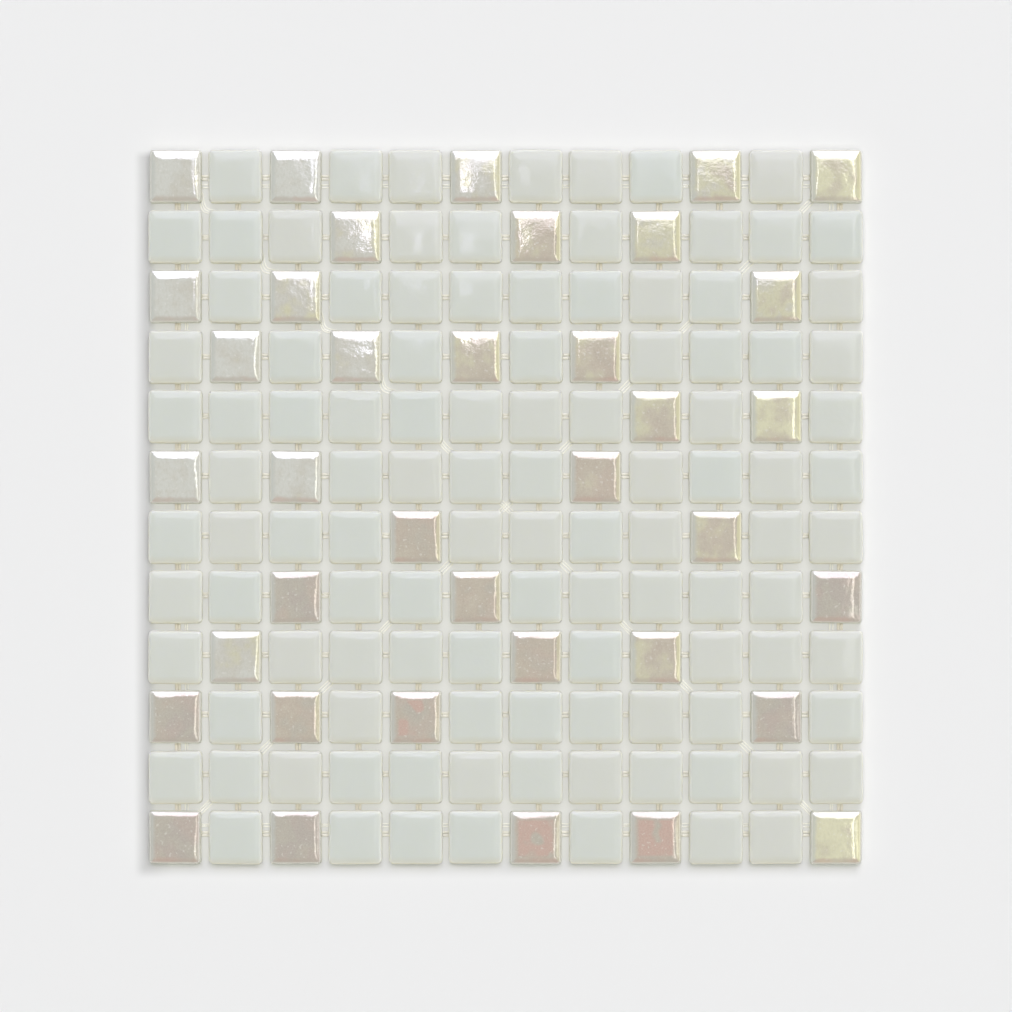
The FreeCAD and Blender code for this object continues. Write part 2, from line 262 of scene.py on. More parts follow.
def tile_places(node):
    """Middle x and y, turn and column of each tile of a CAD node, read off the flat faces on
    its top."""
    points = node_points(node)
    top = points[points[:, 2] > points[:, 2].max() - SAME_LEVEL]
    columns = np.floor(top[:, 0] / PITCH + ROWS / 2).astype(int)
    places = []
    for column in np.unique(columns):
        corners = top[columns == column][:, :2]
        middle = (corners.min(0) + corners.max(0)) / 2
        far = corners[(corners - middle).sum(1).argmax()] - middle
        places.append((*middle, math.atan2(far[1], far[0]) - math.pi / 4, column))
    return np.array(places)


def tile_row(row, name, kind, material, rng):
    """The tiles of one kind in one row, as one mesh. Each is a grid of square rings over its
    face and down its sides, and a second grid under it that shares the outermost ring. It is a
    little smaller than the blank, out of square by a share of the other coordinate, and turned
    about its middle by the cosine and sine of its turn."""
    node = f"row_{row + 1:02d}_{name}_tiles"
    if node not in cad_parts:
        return
    places = tile_places(node)
    count = len(places)
    columns = places[:, 3].astype(int)
    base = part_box(node)[0].z
    half, corner, depth = tile_profile(kind)
    ring, p, q = square_rings()
    x, y = rounded_square(p, q, half[ring], corner[ring])
    tilts = rng.normal(0, kind["lean"], (count, 2))
    for k, column in enumerate(columns):
        tilts[k] = TILTED.get((row, column), tilts[k])
    fade = np.clip(1 - depth / GIRDLE_DEPTH, 0, 1)
    top = base + TILE_HEIGHT - depth[ring] - face_relief(kind, tilts, x, y, rng) * fade[ring]

    core = (slice(1, -1), slice(1, -1))
    back_x, back_y, back_height = (values[core].ravel() for values in tile_back(kind, ring, p, q))
    local_x = np.concatenate([x.ravel(), back_x])
    local_y = np.concatenate([y.ravel(), back_y])
    under = np.broadcast_to(base + back_height, (count, back_height.size))
    heights = np.concatenate([top.reshape(count, -1), under], 1)
    skew = rng.uniform(-SKEW, SKEW, (count, 2))
    scale = 1 - np.array(kind["shrink"]) - UNEVEN_SIZE * rng.uniform(0, 1, (count, 2)) - abs(skew)
    skewed_x = local_x * scale[:, 0:1] + skew[:, 0:1] * local_y
    skewed_y = local_y * scale[:, 1:2] + skew[:, 1:2] * local_x
    cos, sin = np.cos(places[:, 2:3]), np.sin(places[:, 2:3])
    points = np.stack([
        places[:, 0:1] + cos * skewed_x - sin * skewed_y,
        places[:, 1:2] + sin * skewed_x + cos * skewed_y,
        heights,
    ], -1)
    each = local_x.size
    faces = tile_faces() + each * np.arange(count)[:, None, None]
    piece = mesh_piece(f"{name}_tiles_{row + 1:02d}", points, faces, material)
    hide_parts(node)

    # What the glass reads: each vertex's place as shares of the tile's half side, its depth as a
    # share of the girdle's, and the tile's own shade, tone and pitting
    spot = np.stack([local_x / (TILE_SIDE / 2), local_y / (TILE_SIDE / 2), np.zeros(each)], -1)
    point_values(piece, "spot", np.tile(spot, (count, 1)))
    lowness = np.concatenate([(depth[ring] / GIRDLE_DEPTH).ravel(), np.ones(back_height.size)])
    point_values(piece, "lowness", np.tile(np.clip(lowness, 0, 1), count)[:, None])
    shades = np.array([SHADES[LUSTRE_SHADES[row][column]] for column in columns])
    shades[:, 0] += rng.normal(0, FILM_SPREAD, count)
    point_values(piece, "shade", np.repeat(shades, each, axis=0))
    point_values(piece, "tone", np.repeat(rng.uniform(0, 1, count), each)[:, None])
    pitted = rng.uniform(0, 1, count) ** PITTED_POWER
    point_values(piece, "pitted", np.repeat(pitted, each)[:, None])


# A thread's section: wider than the node's, because it has flat sides, and swelling along it
THREAD_SIDES = 8
THREAD_WIDTH_SHARE = 1.16
SWELL = 0.05
SWELL_LENGTH = 9 * MM
SWELL_PHASES = (0, 6)

# A thread's path: two waves, the second shorter and lower
WANDER_LENGTH = 60 * MM
FAST_LENGTH_SHARE = 0.37
SLOW_SHARE, FAST_SHARE = 0.7, 0.3

# Bow of loose filaments: a bell round each crossing. Towards the sheet's middle it fades over
# a length, and it is gone within a share of that length from the middle.
BOW_DEPTH = 1.3
BOW_WIDTH = 4.5 * MM
BOW_FADE = 60 * MM
BOW_GONE = 0.4


def thread_runs(node, heading):
    """Where the threads of a CAD node lie across their heading, where they start and end along
    it, and their width, thickness and middle height. Their side edges are the corners at half
    their height."""
    points = node_points(node)
    low, high = points[:, 2].min(), points[:, 2].max()
    level = (low + high) / 2
    sides = points[abs(points[:, 2] - level) < SAME_LEVEL][:, :2]
    ahead = np.array([math.cos(heading), math.sin(heading)])
    across = np.sort(sides @ np.array([-ahead[1], ahead[0]]))
    groups = np.split(across, np.flatnonzero(np.diff(across) > NEXT_EDGE) + 1)
    edges = np.reshape([group.mean() for group in groups], (-1, 2))
    along = sides @ ahead
    width = edges[0, 1] - edges[0, 0]
    return edges.mean(1), along.min(), along.max(), width, high - low, level


def wander(along, count, reach, rng):
    """Sideways offset of each thread: two sines of random phase, the second shorter and lower."""
    phase = rng.uniform(0, 2 * np.pi, (2, count, 1))
    slow = np.sin(2 * np.pi * along / WANDER_LENGTH + phase[0])
    fast = np.sin(2 * np.pi * along / (FAST_LENGTH_SHARE * WANDER_LENGTH) + phase[1])
    return reach * (SLOW_SHARE * slow + FAST_SHARE * fast)


def slack(along, reach):
    """Sideways bow of a loose diagonal filament round each joint crossing it passes: a bell of
    the distance to the crossing, taken off a constant, that dies away from the upper left
    corner."""
    step = PITCH * math.sqrt(2)
    near = (along / step + 0.5) % 1 - 0.5
    bell = 1 - BOW_DEPTH * np.exp(-(near * step / BOW_WIDTH) ** 2)
    return reach * bell * np.clip(-along / BOW_FADE - BOW_GONE, 0, 1)


def thread_faces(count, stations):
    """Faces of the threads: a band of eight between each two stations along them, and three at
    each end."""
    ring = np.arange(THREAD_SIDES)
    following = np.roll(ring, -1)
    band = np.stack([ring, ring + THREAD_SIDES, following + THREAD_SIDES, following], -1)
    body = (band + THREAD_SIDES * np.arange(stations - 1)[:, None, None]).reshape(-1, 4)
    first = np.array([[0, 1, 2, 3], [0, 3, 4, 7], [7, 4, 5, 6]])
    last = first[:, ::-1] + THREAD_SIDES * (stations - 1)
    each = THREAD_SIDES * stations
    return np.concatenate([body, first, last]) + each * np.arange(count)[:, None, None]


def laid_threads(node, heading, material, step, reach, bow, rng):
    """The threads of one layer as one mesh. Each is a flattened eight-sided profile, half the
    width times the cosine and half the thickness times the sine of the angle, carried along its
    path. The width swells and shrinks by a sine along the path."""
    middles, start, end, width, thickness, level = thread_runs(node, heading)
    count = len(middles)
    stations = int((end - start) / step) + 1
    along = np.linspace(start, end, stations)
    offset = middles[:, None] + wander(along, count, reach, rng) + slack(along, bow)
    ahead = np.array([math.cos(heading), math.sin(heading)])
    across = np.array([-ahead[1], ahead[0]])
    turn = np.arctan(np.gradient(offset, along, axis=1))
    side = np.cos(turn)[..., None] * across - np.sin(turn)[..., None] * ahead
    angle = (np.arange(THREAD_SIDES) + 0.5) * 2 * np.pi / THREAD_SIDES
    flat = np.cos(np.pi / THREAD_SIDES)
    phase = rng.uniform(*SWELL_PHASES, (count, 1))
    swell = THREAD_WIDTH_SHARE + SWELL * np.sin(along * 2 * np.pi / SWELL_LENGTH + phase)
    out = np.cos(angle) / flat * swell[..., None] * width / 2
    path = (along[:, None] * ahead + offset[..., None] * across)[:, :, None]
    plan = path + out[..., None] * side[:, :, None]
    height = level + np.sin(angle) / flat * thickness / 2
    points = np.concatenate([plan, np.broadcast_to(height, plan.shape[:3])[..., None]], -1)
    faces = thread_faces(count, stations)
    piece = mesh_piece(f"laid_{node}", points, faces, material)
    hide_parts(node)


class Nodes:
    """Makes and links the nodes of one material."""

    def __init__(self, name):
        self.material = bpy.data.materials.new(name)
        self.material.use_nodes = True
        self.tree = self.material.node_tree
        self.shader = self.tree.nodes["Principled BSDF"]

    def put(self, node, socket, value):
        """Sets a socket, or links it when the value is another node's socket."""
        if isinstance(value, bpy.types.NodeSocket):
            self.tree.links.new(value, node.inputs[socket])
        else:
            node.inputs[socket].default_value = value

    def add(self, kind, **sockets):
        """A node of a kind, with its sockets set."""
        node = self.tree.nodes.new(kind)
        for name, value in sockets.items():
            self.put(node, name, value)
        return node

    def stored(self, name, output="Fac"):
        """A number or vector that the mesh holds for each vertex."""
        node = self.tree.nodes.new("ShaderNodeAttribute")
        node.attribute_name = name
        return node.outputs[output]

    def place(self):
        """Object coordinates."""
        return self.tree.nodes.new("ShaderNodeTexCoord").outputs["Object"]

    def parts(self, vector):
        """The three numbers of a vector."""
        node = self.add("ShaderNodeSeparateXYZ", Vector=vector)
        return node.outputs["X"], node.outputs["Y"], node.outputs["Z"]

    def math(self, operation, a, b=0.0, clamp=False):
        """One operation on one or two numbers, held between 0 and 1 if clamped."""
        node = self.tree.nodes.new("ShaderNodeMath")
        node.operation, node.use_clamp = operation, clamp
        self.put(node, 0, a)
        self.put(node, 1, b)
        return node.outputs[0]

    def plus(self, a, b, clamp=False):
        return self.math("ADD", a, b, clamp)

    def minus(self, a, b):
        return self.math("SUBTRACT", a, b)

    def times(self, a, b):
        return self.math("MULTIPLY", a, b)

    def share(self, value, start, end):
        """0 up to start, 1 past end and even between."""
        return self.math("DIVIDE", self.minus(value, start), end - start, clamp=True)

    def smooth(self, share):
        """Eases a share in and out: 3 s^2 - 2 s^3."""
        return self.times(self.times(share, share), self.minus(3.0, self.times(share, 2.0)))

    def edge_share(self, start, end):
        """0 inside start and 1 past end, both shares of the tile's half width."""
        u, v, _ = self.parts(self.stored("spot", "Vector"))
        outward = self.math("MAXIMUM", self.math("ABSOLUTE", u), self.math("ABSOLUTE", v))
        return self.share(outward, start, end)

    def ramp(self, value, stops):
        """Colour of a number from a list of stops, each a position and a colour."""
        node = self.tree.nodes.new("ShaderNodeValToRGB")
        elements = node.color_ramp.elements
        while len(elements) < len(stops):
            elements.new(0.5)
        for element, (position, colour) in zip(elements, stops):
            element.position, element.color = position, (*colour, 1)
        self.put(node, 0, value)
        return node.outputs["Color"]

    def mix(self, share, a, b):
        """Colour a where the share is 0 and b where it is 1."""
        node = self.tree.nodes.new("ShaderNodeMix")
        node.data_type = "RGBA"
        self.put(node, 0, share)
        self.put(node, 6, a if isinstance(a, bpy.types.NodeSocket) else (*a, 1))
        self.put(node, 7, b if isinstance(b, bpy.types.NodeSocket) else (*b, 1))
        return node.outputs[2]

    def noise(self, scale, detail=2.0, stretch=(1.0, 1.0, 1.0)):
        """Soft noise of about that many features per metre, fewer along a smaller stretch."""
        drawn = self.add("ShaderNodeMapping", Vector=self.place(), Scale=stretch).outputs["Vector"]
        node = self.add("ShaderNodeTexNoise", Vector=drawn, Scale=scale, Detail=detail)
        return node.outputs["Fac"]

    def bump(self, height, distance, strength=1.0, under=None):
        """Normal of a relief, over another one if given."""
        node = self.add("ShaderNodeBump", Height=height, Distance=distance, Strength=strength)
        if under is not None:
            self.put(node, "Normal", under)
        return node.outputs["Normal"]


# Glass seen from the side: a pale yellow colour that stands for the light that fell on its face
# and comes out there, painted light.
SIDE_GLASS = (0.79, 0.785, 0.62)

# Polish of the face and of the sides: roughness and strength of reflection
POLISH = (("Roughness", 0.06, 0.5), ("Specular IOR Level", 0.5, 0.1))

# Opal glass
MILK_TONES = (
    (0.0, (0.667, 0.70, 0.657)), (0.5, (0.677, 0.70, 0.652)), (1.0, (0.687, 0.694, 0.641)))
MILK_CLOUD, CLOUD_STRENGTH = (0.69, 0.705, 0.66), 0.3
# Painted shade: the foot colour yellows the lower part of each face, and the lower rim colour puts
# a tan line on the lower rim. Painted light: the rim colour lightens the rim.
MILK_FOOT_SHADE = (0.675, 0.665, 0.575)
MILK_RIM_LIGHT = (0.93, 0.925, 0.835)
MILK_LOWER_RIM_SHADE, LOWER_RIM_SHADE_STRENGTH = (0.88, 0.845, 0.73), 0.8
MILK_IOR = 1.52
MILK_SCATTER = (1.0, 1.0, 0.9)
MILK_SCATTER_LENGTH = 3 * MM
PIT_DEPTH = 0.06 * MM
RIPPLE_DEPTH = 0.004 * MM

# Lustre film, by its thickness: silver, straw, gold, rose and grey brown
FILM_COLOURS = (
    (0.0, (0.655, 0.66, 0.605)), (0.2, (0.605, 0.59, 0.52)), (0.36, (0.65, 0.63, 0.445)),
    (0.52, (0.57, 0.515, 0.415)), (0.66, (0.535, 0.47, 0.38)), (0.8, (0.52, 0.48, 0.40)),
    (0.94, (0.50, 0.465, 0.395)), (1.0, (0.49, 0.44, 0.385)))
STREAK_THICKNESS = 0.2
CLOUD_THICKNESS = 0.7
RISE_THICKNESS = 0.06
GILT, GILT_EVERYWHERE = (0.735, 0.715, 0.50), 0.3
FLUSH, FLUSH_STRENGTH = (0.58, 0.455, 0.385), 0.35
PINK_PATCH, PATCH_GROWTH = (0.59, 0.42, 0.35), 0.25
# Pale specks and dark grain, partly the film's own mottle and partly painted reflection, and pale
# dots that are painted glints: scale, detail and stretch of the noise, the values between which
# the mark comes in, its strength and its colour
FILM_MARKS_AND_GLINTS = (
    (1500, 3, (1.0, 1.0, 1.0), 0.35, 0.7, 0.2, (0.78, 0.77, 0.70)),
    (800, 0, (1.0, 1.0, 1.0), 0.72, 0.78, 0.4, (0.80, 0.79, 0.73)),
    (900, 3, (1.0, 0.6, 1.0), 0.55, 0.25, 0.2, (0.40, 0.36, 0.29)),
)
# Painted light on the lustre bevels: a golden painted reflection on the right one, painted grey
# shade on the left one and painted brown and red shade on the lower one.
GOLDEN_BEVEL_REFLECTION, GOLDEN_REFLECTION_STRENGTH = (0.72, 0.69, 0.45), 0.8
GREY_BEVEL_SHADE, GREY_SHADE_STRENGTH = (0.57, 0.585, 0.54), 0.7
BROWN_BEVEL_SHADE, RED_BEVEL_SHADE, LOWER_SHADE_STRENGTH = (0.50, 0.45, 0.38), (0.55, 0.41, 0.34), 0.6
BEVEL_BLUR = (-0.01, 0.03)
RAGGEDNESS = 0.14
RIM_LINE, RIM_LINE_STRENGTH = (0.84, 0.82, 0.75), 0.4
BARE_GLASS = (0.87, 0.87, 0.79)
FILM_METAL = 0.55
FILM_IOR = 1.6
DIMPLE_DEPTH = 0.045 * MM
PEEL_DEPTH = 0.010 * MM


def polish(nodes, lowness, start, end):
    """Fire-polished as low as start, matt from end downwards, and even between."""
    for socket, face, side in POLISH:
        stops = ((start, (face,) * 3), (end, (side,) * 3))
        nodes.put(nodes.shader, socket, nodes.ramp(lowness, stops))


def milk_glass():
    """Opal glass: milk white, a little greener in some tiles. Painted light makes it lighter on the
    rim, for the light from above that comes out there, and painted shade makes it yellower near the
    lower edge, with a tan line on the lower rim. Some faces are pitted."""
    nodes = Nodes("milk_glass")
    shader = nodes.shader
    lowness = nodes.stored("lowness")
    _, v, _ = nodes.parts(nodes.stored("spot", "Vector"))
    tone = nodes.ramp(nodes.stored("tone"), MILK_TONES)
    cloud = nodes.noise(70, 3)
    # Shares of painted shade on the lower part of the face and the lower rim, and of painted light
    # on the rim
    foot = nodes.share(v, -0.7, -0.98)
    rim = nodes.share(lowness, 0.12, 0.4)
    lower_rim_shade = nodes.times(nodes.share(v, -0.85, -0.95), nodes.share(lowness, 0.14, 0.3))
    sides = nodes.share(lowness, 0.55, 0.95)
    colour = nodes.mix(nodes.times(cloud, CLOUD_STRENGTH), tone, MILK_CLOUD)
    colour = nodes.mix(foot, colour, MILK_FOOT_SHADE)
    colour = nodes.mix(rim, colour, MILK_RIM_LIGHT)
    colour = nodes.mix(nodes.times(lower_rim_shade, LOWER_RIM_SHADE_STRENGTH), colour, MILK_LOWER_RIM_SHADE)
    # The sides take the pale colour that is painted light coming out of the glass.
    nodes.put(shader, "Base Color", nodes.mix(sides, colour, SIDE_GLASS))
    nodes.put(shader, "Subsurface Weight", 1.0)
    nodes.put(shader, "Subsurface Radius", MILK_SCATTER)
    nodes.put(shader, "Subsurface Scale", MILK_SCATTER_LENGTH)
    nodes.put(shader, "IOR", MILK_IOR)
    polish(nodes, lowness, 0.15, 0.5)
    pits = nodes.bump(nodes.noise(400), PIT_DEPTH, nodes.stored("pitted"))
    nodes.put(shader, "Normal", nodes.bump(nodes.noise(700), RIPPLE_DEPTH, under=pits))
    return nodes.material


def film_colour(nodes, u, laid, gilt):
    """Colour by the film's thickness, which is the tile's own plus streaks, clouds and a slight
    rise to the right. Gilt tiles are golder where the clouds are thin."""
    streaks = nodes.minus(nodes.noise(420, 3, (1.0, 0.35, 1.0)), 0.5)
    clouds = nodes.minus(nodes.noise(120), 0.5)
    film = nodes.plus(laid, nodes.times(streaks, STREAK_THICKNESS))
    film = nodes.plus(film, nodes.times(clouds, CLOUD_THICKNESS))
    film = nodes.plus(film, nodes.times(u, RISE_THICKNESS))
    thin = nodes.share(clouds, 0.12, -0.12)
    gilded = nodes.times(gilt, nodes.plus(thin, GILT_EVERYWHERE, clamp=True))
    return nodes.mix(gilded, nodes.ramp(film, FILM_COLOURS), GILT)


def film_marks_and_glints(nodes, colour, laid, pinkness):
    """A rosy flush on thick film, pink patches that stop short of the bevels, pale specks and dark
    grain that are partly the film's own mottle and partly painted reflection, and pale dots that
    are painted glints."""
    thick = nodes.share(laid, 0.4, 0.6)
    flush = nodes.times(nodes.share(nodes.noise(75), 0.45, 0.6), thick)
    colour = nodes.mix(nodes.times(flush, FLUSH_STRENGTH), colour, FLUSH)
    within = nodes.edge_share(0.72, 0.62)
    patches = nodes.plus(nodes.noise(125, 1), nodes.times(pinkness, PATCH_GROWTH))
    patches = nodes.times(nodes.share(patches, 0.58, 0.68), within)
    patches = nodes.times(nodes.share(pinkness, 0.0, 0.1), patches)
    colour = nodes.mix(patches, colour, PINK_PATCH)
    # Pale specks, pale dots that are painted glints, and dark grain
    for scale, detail, stretch, start, end, strength, tint in FILM_MARKS_AND_GLINTS:
        mark = nodes.share(nodes.noise(scale, detail, stretch), start, end)
        colour = nodes.mix(nodes.times(mark, strength), colour, tint)
    return colour


def painted_bevel_light(nodes, colour, u, v, laid):
    """The right bevel is golder where the film is of middling thickness, a painted reflection of
    the light from the right. The left one is greyer and the lower one browner or redder, painted
    shade. All have ragged bounds."""
    crease = FACE_HALF / (TILE_SIDE / 2)
    bevel = nodes.edge_share(crease + BEVEL_BLUR[0], crease + BEVEL_BLUR[1])
    on_sides = nodes.math("GREATER_THAN", nodes.math("ABSOLUTE", u), nodes.math("ABSOLUTE", v))
    ragged = nodes.times(nodes.minus(nodes.noise(260), 0.5), RAGGEDNESS)
    right = nodes.share(nodes.plus(u, ragged), 0.76, 0.81)
    right = nodes.times(nodes.times(bevel, on_sides), right)
    left = nodes.share(nodes.plus(u, ragged), -0.72, -0.84)
    lower = nodes.share(nodes.plus(v, ragged), -0.72, -0.82)
    lower = nodes.times(nodes.times(bevel, nodes.minus(1.0, on_sides)), lower)
    middling = nodes.times(nodes.share(laid, 0.0, 0.36), nodes.share(laid, 0.95, 0.5))
    # Painted reflection on the right bevel, where the film is of middling thickness
    golden = nodes.times(right, middling)
    reddish = nodes.share(nodes.noise(90), 0.42, 0.62)
    colour = nodes.mix(nodes.times(golden, GOLDEN_REFLECTION_STRENGTH), colour, GOLDEN_BEVEL_REFLECTION)
    colour = nodes.mix(nodes.times(left, GREY_SHADE_STRENGTH), colour, GREY_BEVEL_SHADE)
    red_brown = nodes.mix(reddish, BROWN_BEVEL_SHADE, RED_BEVEL_SHADE)
    return nodes.mix(nodes.times(lower, LOWER_SHADE_STRENGTH), colour, red_brown)


def lustre_glaze():
    """Pearl lustre fired on the same glass, over an orange-peel surface. It ends on the rim in
    a pale line, and the sides are bare glass."""
    nodes = Nodes("pearl_lustre")
    shader = nodes.shader
    lowness = nodes.stored("lowness")
    u, v, _ = nodes.parts(nodes.stored("spot", "Vector"))
    laid, pinkness, gilt = nodes.parts(nodes.stored("shade", "Vector"))
    colour = film_colour(nodes, u, laid, gilt)
    colour = film_marks_and_glints(nodes, colour, laid, pinkness)
    colour = painted_bevel_light(nodes, colour, u, v, laid)
    rim_line = nodes.times(nodes.share(lowness, 0.13, 0.17), nodes.share(lowness, 0.3, 0.22))
    colour = nodes.mix(nodes.times(rim_line, RIM_LINE_STRENGTH), colour, RIM_LINE)
    bare = nodes.share(lowness, 0.16, 0.4)
    sides = nodes.share(lowness, 0.5, 0.95)
    # The sides take the pale colour that is painted light coming out of the glass.
    glass = nodes.mix(sides, BARE_GLASS, SIDE_GLASS)
    nodes.put(shader, "Base Color", nodes.mix(bare, colour, glass))
    nodes.put(shader, "Metallic", nodes.times(nodes.minus(1.0, bare), FILM_METAL))
    nodes.put(shader, "IOR", FILM_IOR)
    polish(nodes, lowness, 0.25, 0.6)
    dimples = nodes.bump(nodes.noise(650), DIMPLE_DEPTH)
    nodes.put(shader, "Normal", nodes.bump(nodes.noise(1800), PEEL_DEPTH, under=dimples))
    return nodes.material


def lay_tiles():
    """Each row's milk-white tiles, then its lustre ones."""
    milk, pearl = milk_glass(), lustre_glaze()
    rng = np.random.default_rng(SEED)
    for row in range(ROWS):
        tile_row(row, "white", WHITE_TILE, milk, rng)
        tile_row(row, "lustre", LUSTRE_TILE, pearl, rng)


# The two tones of each yarn
YARNS = {
    "tan_yarn": ((0.79, 0.755, 0.67), (0.72, 0.655, 0.525)),
    "cream_yarn": ((0.83, 0.81, 0.745), (0.775, 0.745, 0.64)),
    "fine_yarn": ((0.95, 0.94, 0.87), (0.90, 0.88, 0.79)),
}
# Layers of the net: node, heading in degrees from +X, yarn and slot, then in mm the step along
# the threads, the reach of their wander and their bow
LAYERS = (
    ("row_threads", 0, "cream_yarn", "thread", 3, 0.1, 0),
    ("column_threads", 90, "tan_yarn", "thread", 3, 0.1, 0),
    ("border_row_filaments", 0, "fine_yarn", "fine_filament", 3, 0.2, 0),
    ("border_column_filaments", 90, "fine_yarn", "fine_filament", 3, 0.2, 0),
    ("falling_diagonal_filaments", -45, "fine_yarn", "fine_filament", 1, 0.2, 3),
    ("rising_diagonal_filaments", 45, "fine_yarn", "fine_filament", 1.5, 0.2, 0),
)
YARN_RELIEF = 0.03 * MM


def yarn(name, pale, dark):
    """Bonded yarn: two tones in fine streaks under a thin clear adhesive."""
    nodes = Nodes(name)
    streak = nodes.noise(900)
    nodes.put(nodes.shader, "Base Color", nodes.mix(streak, dark, pale))
    nodes.put(nodes.shader, "Roughness", 0.45)
    nodes.put(nodes.shader, "Coat Weight", 0.6)
    nodes.put(nodes.shader, "Coat Roughness", 0.12)
    nodes.put(nodes.shader, "Normal", nodes.bump(streak, YARN_RELIEF))
    return nodes.material


def lay_net():
    """The threads under the tiles, one mesh for each layer."""
    yarns = {name: yarn(name, *tones) for name, tones in YARNS.items()}
    rng = np.random.default_rng(SEED)
    for node, heading, kind, slot, step, reach, bow in LAYERS:
        heading = math.radians(heading)
        laid_threads(node, heading, yarns[kind], step * MM, reach * MM, bow * MM, rng)


# Floor: pale. Under the sheet its colour is duller, painted shade, and beside the sheet's left and
# lower edges lies a painted soft shadow. The lift is how far what is seen under the sheet glows
# instead of being lit, painted light.
PALE = 0.863
UNDER_SHEET_SHADE = (0.75, 0.75, 0.712)
UNDER_LIFT = 0.6
UNDER_MARGIN = 3 * MM
LEFT_SHADOW = (0.63, 0.63, 0.63)
LOWER_SHADOW = (0.74, 0.74, 0.74)
SHADOW_START = 1.5 * MM
SHADOW_REACH = 7.3 * MM
SHADOW_CORNER = 10 * MM
FLOOR_HALF = 8.0


def background_share(tree):
    """1 for what the camera sees directly, in a reflection or through glass, and 0 for light
    that falls."""
    path = tree.nodes.new("ShaderNodeLightPath")
    total = path.outputs["Is Camera Ray"]
    for name in ("Is Glossy Ray", "Is Transmission Ray"):
        add = tree.nodes.new("ShaderNodeMath")
        add.operation, add.use_clamp = "ADD", True
        tree.links.new(total, add.inputs[0])
        tree.links.new(path.outputs[name], add.inputs[1])
        total = add.outputs[0]
    return total


def show_mixed(tree, share, first, second, output):
    """Shows the first shader where the share is 0 and the second where it is 1."""
    mixed = tree.nodes.new("ShaderNodeMixShader")
    for socket, source in enumerate((share, first.outputs[0], second.outputs[0])):
        tree.links.new(source, mixed.inputs[socket])
    tree.links.new(mixed.outputs[0], tree.nodes[output].inputs["Surface"])


def floor_colour(nodes):
    """Colour of the floor, with painted shade under the sheet, and the share of it that is under
    the sheet. The painted shadow beside the sheet fades away smoothly from its left and lower
    edges."""
    x, y, _ = nodes.parts(nodes.place())
    edge = SHEET / 2
    under = beside = 1.0
    for along in (x, y):
        far_side = nodes.share(along, edge, edge - UNDER_MARGIN)
        near_side = nodes.share(along, -edge, -edge + UNDER_MARGIN)
        fade = nodes.smooth(nodes.share(along, -edge - SHADOW_REACH, -edge - SHADOW_START))
        under = nodes.times(under, nodes.times(near_side, far_side))
        beside = nodes.times(beside, nodes.times(fade, far_side))
    # The painted shadow is darker beside the left edge than beside the lower one
    leftness = nodes.share(x, -edge + SHADOW_CORNER, -edge)
    shadow = nodes.mix(leftness, LOWER_SHADOW, LEFT_SHADOW)
    return nodes.mix(under, nodes.mix(beside, (PALE,) * 3, shadow), UNDER_SHEET_SHADE), under


def pale_floor():
    """A flat matt floor. Under the sheet it partly glows, painted light, so that it is seen more
    evenly than it is lit.
    """
    nodes = Nodes("pale_floor")
    colour, under = floor_colour(nodes)
    nodes.put(nodes.shader, "Base Color", colour)
    nodes.put(nodes.shader, "Roughness", 1.0)
    nodes.put(nodes.shader, "Specular IOR Level", 0.0)
    # Painted light: under the sheet the floor partly glows in its own colour
    glow = nodes.add("ShaderNodeEmission", Color=colour, Strength=1.0)
    share = nodes.times(background_share(nodes.tree), nodes.times(under, UNDER_LIFT))
    show_mixed(nodes.tree, share, nodes.shader, glow, "Material Output")
    corners = FLOOR_HALF * np.array([(-1, -1, 0), (1, -1, 0), (1, 1, 0), (-1, 1, 0)])
    mesh = bpy.data.meshes.new("floor")
    mesh.from_pydata(corners.tolist(), [], [(0, 1, 2, 3)])
    mesh.materials.append(nodes.material)
    floor = bpy.data.objects.new("floor", mesh)
    bpy.context.scene.collection.objects.link(floor)


# Camera: straight above the sheet, framed as in the photograph
IMAGE_PIXELS = 1012
SHEET_PIXELS = 716.0
SHEET_MIDDLE = (505.7, 507.0)
CAMERA_HEIGHT = 1.1
FACE_LEVEL = 5.1 * MM


def overhead_camera():
    """Looks straight down. The lens is the sensor's width times the distance to the tiles'
    faces, divided by the width seen there, and the shift puts the sheet's middle in its place."""
    lens = bpy.data.cameras.new("camera")
    seen = IMAGE_PIXELS * SHEET / SHEET_PIXELS
    lens.lens = lens.sensor_width * (CAMERA_HEIGHT - FACE_LEVEL) / seen
    lens.shift_x = (IMAGE_PIXELS / 2 - SHEET_MIDDLE[0]) / IMAGE_PIXELS
    lens.shift_y = (SHEET_MIDDLE[1] - IMAGE_PIXELS / 2) / IMAGE_PIXELS
    camera = bpy.data.objects.new("camera", lens)
    camera.location = (0, 0, CAMERA_HEIGHT)
    bpy.context.scene.collection.objects.link(camera)
    bpy.context.scene.camera = camera


# Lamps: most are far off, so that they light the whole sheet evenly.
LAMP_DISTANCE = 20.0
FILL = 0.1
NEUTRAL = (1, 1, 1)
CEILING_TINT = (1.0, 1.010, 0.888)
SKY_TINT = (0.97, 0.95, 1.23)
NEAR_LAMP = dict(place=(-0.065, 0.27, 1.25), width=0.05, height=0.12, radiance=2.5)


def area_lamp(name, place, turn, width, height, radiance, tint, mirrored=True, falling=True):
    """A rectangular lamp, white times its tint. Its power is pi x area x radiance. Mirrored: it
    is seen in reflections. Falling: its light falls on things."""
    lamp = bpy.data.lights.new(name, "AREA")
    lamp.shape = "RECTANGLE"
    lamp.size, lamp.size_y = width, height
    lamp.energy = math.pi * width * height * radiance
    lamp.color = tint
    holder = bpy.data.objects.new(name, lamp)
    holder.location = place
    holder.rotation_mode = "QUATERNION"
    holder.rotation_quaternion = turn.to_quaternion()
    holder.visible_camera = False
    holder.visible_glossy = mirrored
    holder.visible_diffuse = falling
    bpy.context.scene.collection.objects.link(holder)


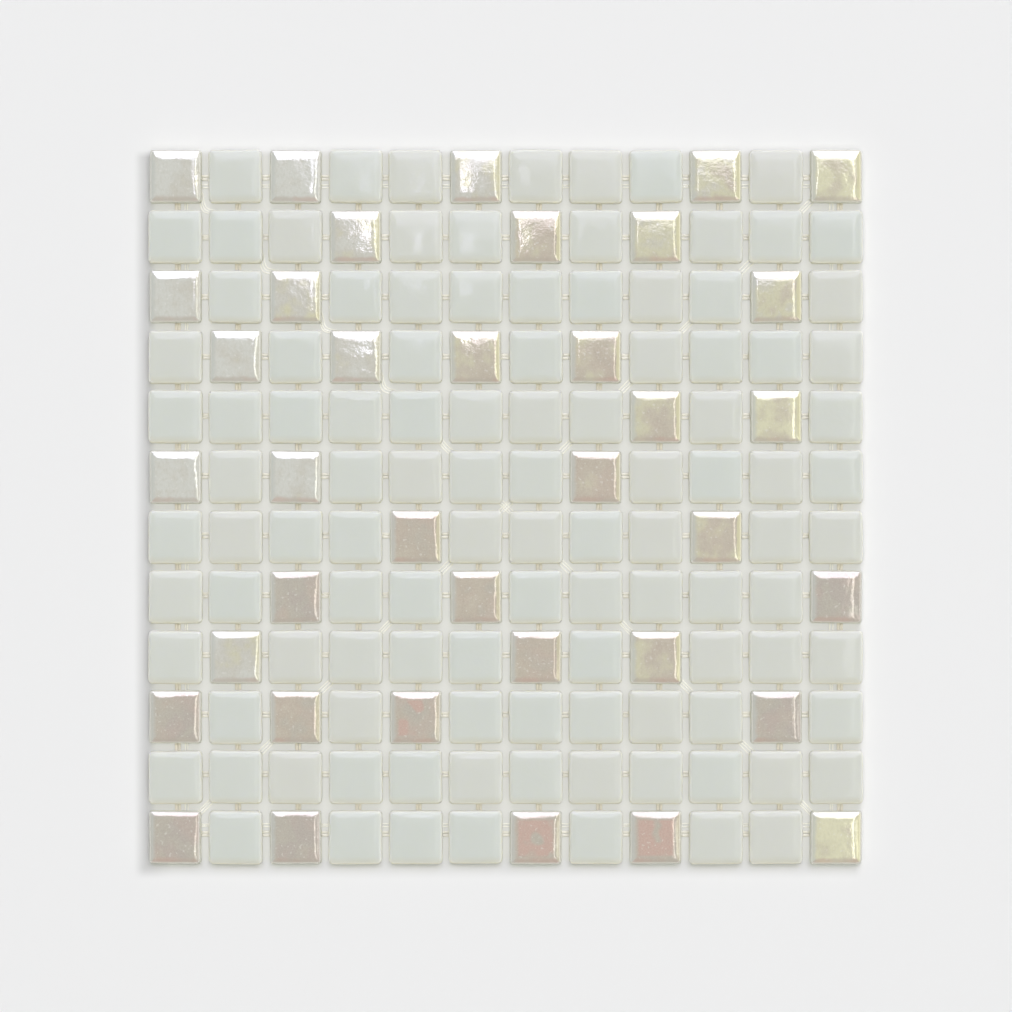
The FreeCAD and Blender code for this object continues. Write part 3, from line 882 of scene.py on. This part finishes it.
def softbox(name, toward, near, far, left, right, radiance, tint=NEUTRAL, **seen):
    """A far lamp that fills a window of directions: near and far are degrees off the vertical
    towards +Y or +X, left and right are degrees to either side of that."""
    middle = math.radians((near + far) / 2)
    across = math.radians((left + right) / 2)
    width = 2 * LAMP_DISTANCE * math.tan(math.radians(right - left) / 2)
    height = 2 * LAMP_DISTANCE * math.tan(math.radians(far - near) / 2)
    flat = math.cos(across)
    back = Vector((math.sin(across), math.sin(middle) * flat, math.cos(middle) * flat))
    side = Vector((1, 0, 0))
    if toward == "+X":
        back, side = Vector((back.y, back.x, back.z)), Vector((0, 1, 0))
    up = back.cross(side).normalized()
    turn = Matrix((up.cross(back), up, back)).transposed()
    area_lamp(name, back * LAMP_DISTANCE, turn, width, height, radiance, tint, **seen)


def light_sheet():
    """A soft ceiling and side fill, a bluish window beyond the sheet with paler bands above and
    below it, a slit, a small panel and a low window to the right, and a small lamp close by the
    camera."""
    softbox("ceiling", "+Y", -38, 38, -31, 35, 1.485, CEILING_TINT, mirrored=False)
    softbox("side_fill", "+X", 20, 52, -30, 30, 0.5, mirrored=False)
    softbox("sky_window", "+Y", 12.5, 52, -18, 26, 1.95, SKY_TINT)
    softbox("sky_corner", "+Y", 8.5, 12.5, -4, 24, 0.9, SKY_TINT, falling=False)
    softbox("sky_foot", "+Y", 52, 86, -30, 30, 1.6, SKY_TINT, falling=False)
    softbox("side_window", "+X", 42, 60, -25, 25, 0.6, falling=False)
    softbox("side_slit", "+X", 12, 17, -20, 14, 1.4, falling=False)
    softbox("low_side_panel", "+X", 24, 34, -12, -5, 0.7)
    area_lamp("near_lamp", turn=Matrix.Identity(3), tint=SKY_TINT, **NEAR_LAMP)


def studio():
    """Even pale surroundings: dimmer as light than as background, because the lamps do the
    rest."""
    world = bpy.data.worlds.new("studio")
    bpy.context.scene.world = world
    world.use_nodes = True
    tree = world.node_tree
    fill = tree.nodes["Background"]
    fill.inputs["Color"].default_value = (1, 1, 1, 1)
    fill.inputs["Strength"].default_value = FILL
    pale = tree.nodes.new("ShaderNodeBackground")
    pale.inputs["Color"].default_value = (PALE, PALE, PALE, 1)
    pale.inputs["Strength"].default_value = 1.0
    show_mixed(tree, background_share(tree), fill, pale, "World Output")


lay_tiles()
lay_net()
pale_floor()
overhead_camera()
light_sheet()
studio()
bpy.context.scene.view_settings.view_transform = "Standard"
